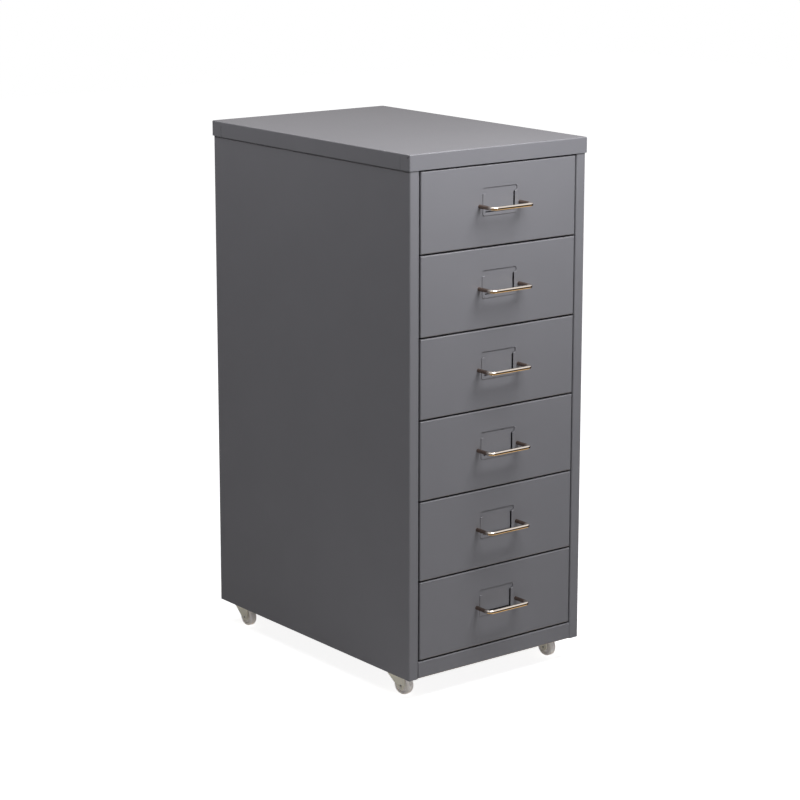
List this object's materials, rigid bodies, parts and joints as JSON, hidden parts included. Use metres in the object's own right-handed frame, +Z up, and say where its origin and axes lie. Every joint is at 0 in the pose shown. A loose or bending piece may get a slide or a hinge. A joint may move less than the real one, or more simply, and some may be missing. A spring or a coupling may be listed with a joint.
{
  "type": "drawer cabinet",
  "caption": "Small grey sheet-steel drawer cabinet on swivel castors, with wire pulls and pressed label holders on its drawers.",
  "frame": {"origin": "on the floor, under the middle of the outer box with the drawers shut and the handles counted", "axes": "+Z up; the drawers face and open towards -Y; +X is the right side seen from the front"},
  "size_m": [0.282, 0.4485, 0.688],
  "materials": {
    "cabinet_paint": "fine-textured satin powder coat, dark grey",
    "handle_wire": "bright nickel-plated steel wire",
    "zinc_screws": "zinc-plated steel fasteners",
    "caster_plate_steel": "zinc-plated pressed steel",
    "caster_nylon": "moulded off-white nylon, satin",
    "wheel_nylon": "moulded off-white nylon, lightly worn tread"
  },
  "bodies": {
    "cabinet": {"top_cover": "cabinet_paint", "left_side_panel": "cabinet_paint", "right_side_panel": "cabinet_paint", "back_panel": "cabinet_paint", "bottom_panel": "cabinet_paint", "runner_left_1": "cabinet_paint", "runner_right_1": "cabinet_paint", "runner_left_2": "cabinet_paint", "runner_right_2": "cabinet_paint", "runner_left_3": "cabinet_paint", "runner_right_3": "cabinet_paint", "runner_left_4": "cabinet_paint", "runner_right_4": "cabinet_paint", "runner_left_5": "cabinet_paint", "runner_right_5": "cabinet_paint", "runner_left_6": "cabinet_paint", "runner_right_6": "cabinet_paint", "cabinet_screws": "zinc_screws", "caster_screws": "zinc_screws", "caster_kingpins": "zinc_screws", "caster_front_left_plate": "caster_plate_steel", "caster_front_right_plate": "caster_plate_steel", "caster_rear_left_plate": "caster_plate_steel", "caster_rear_right_plate": "caster_plate_steel"},
    "drawer_1": {"drawer_1_front": "cabinet_paint", "drawer_1_tray": "cabinet_paint", "drawer_1_handle": "handle_wire", "drawer_1_screws": "zinc_screws"},
    "drawer_2": {"drawer_2_front": "cabinet_paint", "drawer_2_tray": "cabinet_paint", "drawer_2_handle": "handle_wire", "drawer_2_screws": "zinc_screws"},
    "drawer_3": {"drawer_3_front": "cabinet_paint", "drawer_3_tray": "cabinet_paint", "drawer_3_handle": "handle_wire", "drawer_3_screws": "zinc_screws"},
    "drawer_4": {"drawer_4_front": "cabinet_paint", "drawer_4_tray": "cabinet_paint", "drawer_4_handle": "handle_wire", "drawer_4_screws": "zinc_screws"},
    "drawer_5": {"drawer_5_front": "cabinet_paint", "drawer_5_tray": "cabinet_paint", "drawer_5_handle": "handle_wire", "drawer_5_screws": "zinc_screws"},
    "drawer_6": {"drawer_6_front": "cabinet_paint", "drawer_6_tray": "cabinet_paint", "drawer_6_handle": "handle_wire", "drawer_6_screws": "zinc_screws"},
    "caster_front_left_swivel": {"caster_front_left_fork": "caster_nylon", "caster_front_left_axle": "zinc_screws"},
    "caster_front_left_wheel": {"caster_front_left_wheel": "wheel_nylon"},
    "caster_front_right_swivel": {"caster_front_right_fork": "caster_nylon", "caster_front_right_axle": "zinc_screws"},
    "caster_front_right_wheel": {"caster_front_right_wheel": "wheel_nylon"},
    "caster_rear_left_swivel": {"caster_rear_left_fork": "caster_nylon", "caster_rear_left_axle": "zinc_screws"},
    "caster_rear_left_wheel": {"caster_rear_left_wheel": "wheel_nylon"},
    "caster_rear_right_swivel": {"caster_rear_right_fork": "caster_nylon", "caster_rear_right_axle": "zinc_screws"},
    "caster_rear_right_wheel": {"caster_rear_right_wheel": "wheel_nylon"}
  },
  "joints": [
    {"name": "drawer_1_slide", "type": "slide", "parent": "cabinet", "child": "drawer_1", "axis": [0, -1, 0], "range_m": [0, 0.3]},
    {"name": "drawer_2_slide", "type": "slide", "parent": "cabinet", "child": "drawer_2", "axis": [0, -1, 0], "range_m": [0, 0.3]},
    {"name": "drawer_3_slide", "type": "slide", "parent": "cabinet", "child": "drawer_3", "axis": [0, -1, 0], "range_m": [0, 0.3]},
    {"name": "drawer_4_slide", "type": "slide", "parent": "cabinet", "child": "drawer_4", "axis": [0, -1, 0], "range_m": [0, 0.3]},
    {"name": "drawer_5_slide", "type": "slide", "parent": "cabinet", "child": "drawer_5", "axis": [0, -1, 0], "range_m": [0, 0.3]},
    {"name": "drawer_6_slide", "type": "slide", "parent": "cabinet", "child": "drawer_6", "axis": [0, -1, 0], "range_m": [0, 0.3]},
    {"name": "caster_front_left_swivel_turn", "type": "hinge", "parent": "cabinet", "child": "caster_front_left_swivel", "pos_m": [-0.1195, -0.14825, 0.03], "axis": [0, 0, 1], "continuous": true},
    {"name": "caster_front_left_wheel_spin", "type": "hinge", "parent": "caster_front_left_swivel", "child": "caster_front_left_wheel", "pos_m": [-0.11702, -0.1569, 0.0125], "axis": [0.9613, 0.2756, 0], "continuous": true},
    {"name": "caster_front_right_swivel_turn", "type": "hinge", "parent": "cabinet", "child": "caster_front_right_swivel", "pos_m": [0.1195, -0.14825, 0.03], "axis": [0, 0, 1], "continuous": true},
    {"name": "caster_front_right_wheel_spin", "type": "hinge", "parent": "caster_front_right_swivel", "child": "caster_front_right_wheel", "pos_m": [0.1206, -0.15718, 0.0125], "axis": [0.9925, 0.1219, 0], "continuous": true},
    {"name": "caster_rear_left_swivel_turn", "type": "hinge", "parent": "cabinet", "child": "caster_rear_left_swivel", "pos_m": [-0.1195, 0.19475, 0.03], "axis": [0, 0, 1], "continuous": true},
    {"name": "caster_rear_left_wheel_spin", "type": "hinge", "parent": "caster_rear_left_swivel", "child": "caster_rear_left_wheel", "pos_m": [-0.11887, 0.18577, 0.0125], "axis": [0.9976, 0.0698, 0], "continuous": true},
    {"name": "caster_rear_right_swivel_turn", "type": "hinge", "parent": "cabinet", "child": "caster_rear_right_swivel", "pos_m": [0.1195, 0.19475, 0.03], "axis": [0, 0, 1], "continuous": true},
    {"name": "caster_rear_right_wheel_spin", "type": "hinge", "parent": "caster_rear_right_swivel", "child": "caster_rear_right_wheel", "pos_m": [0.11763, 0.18595, 0.0125], "axis": [0.9781, -0.2079, 0], "continuous": true}
  ]
}
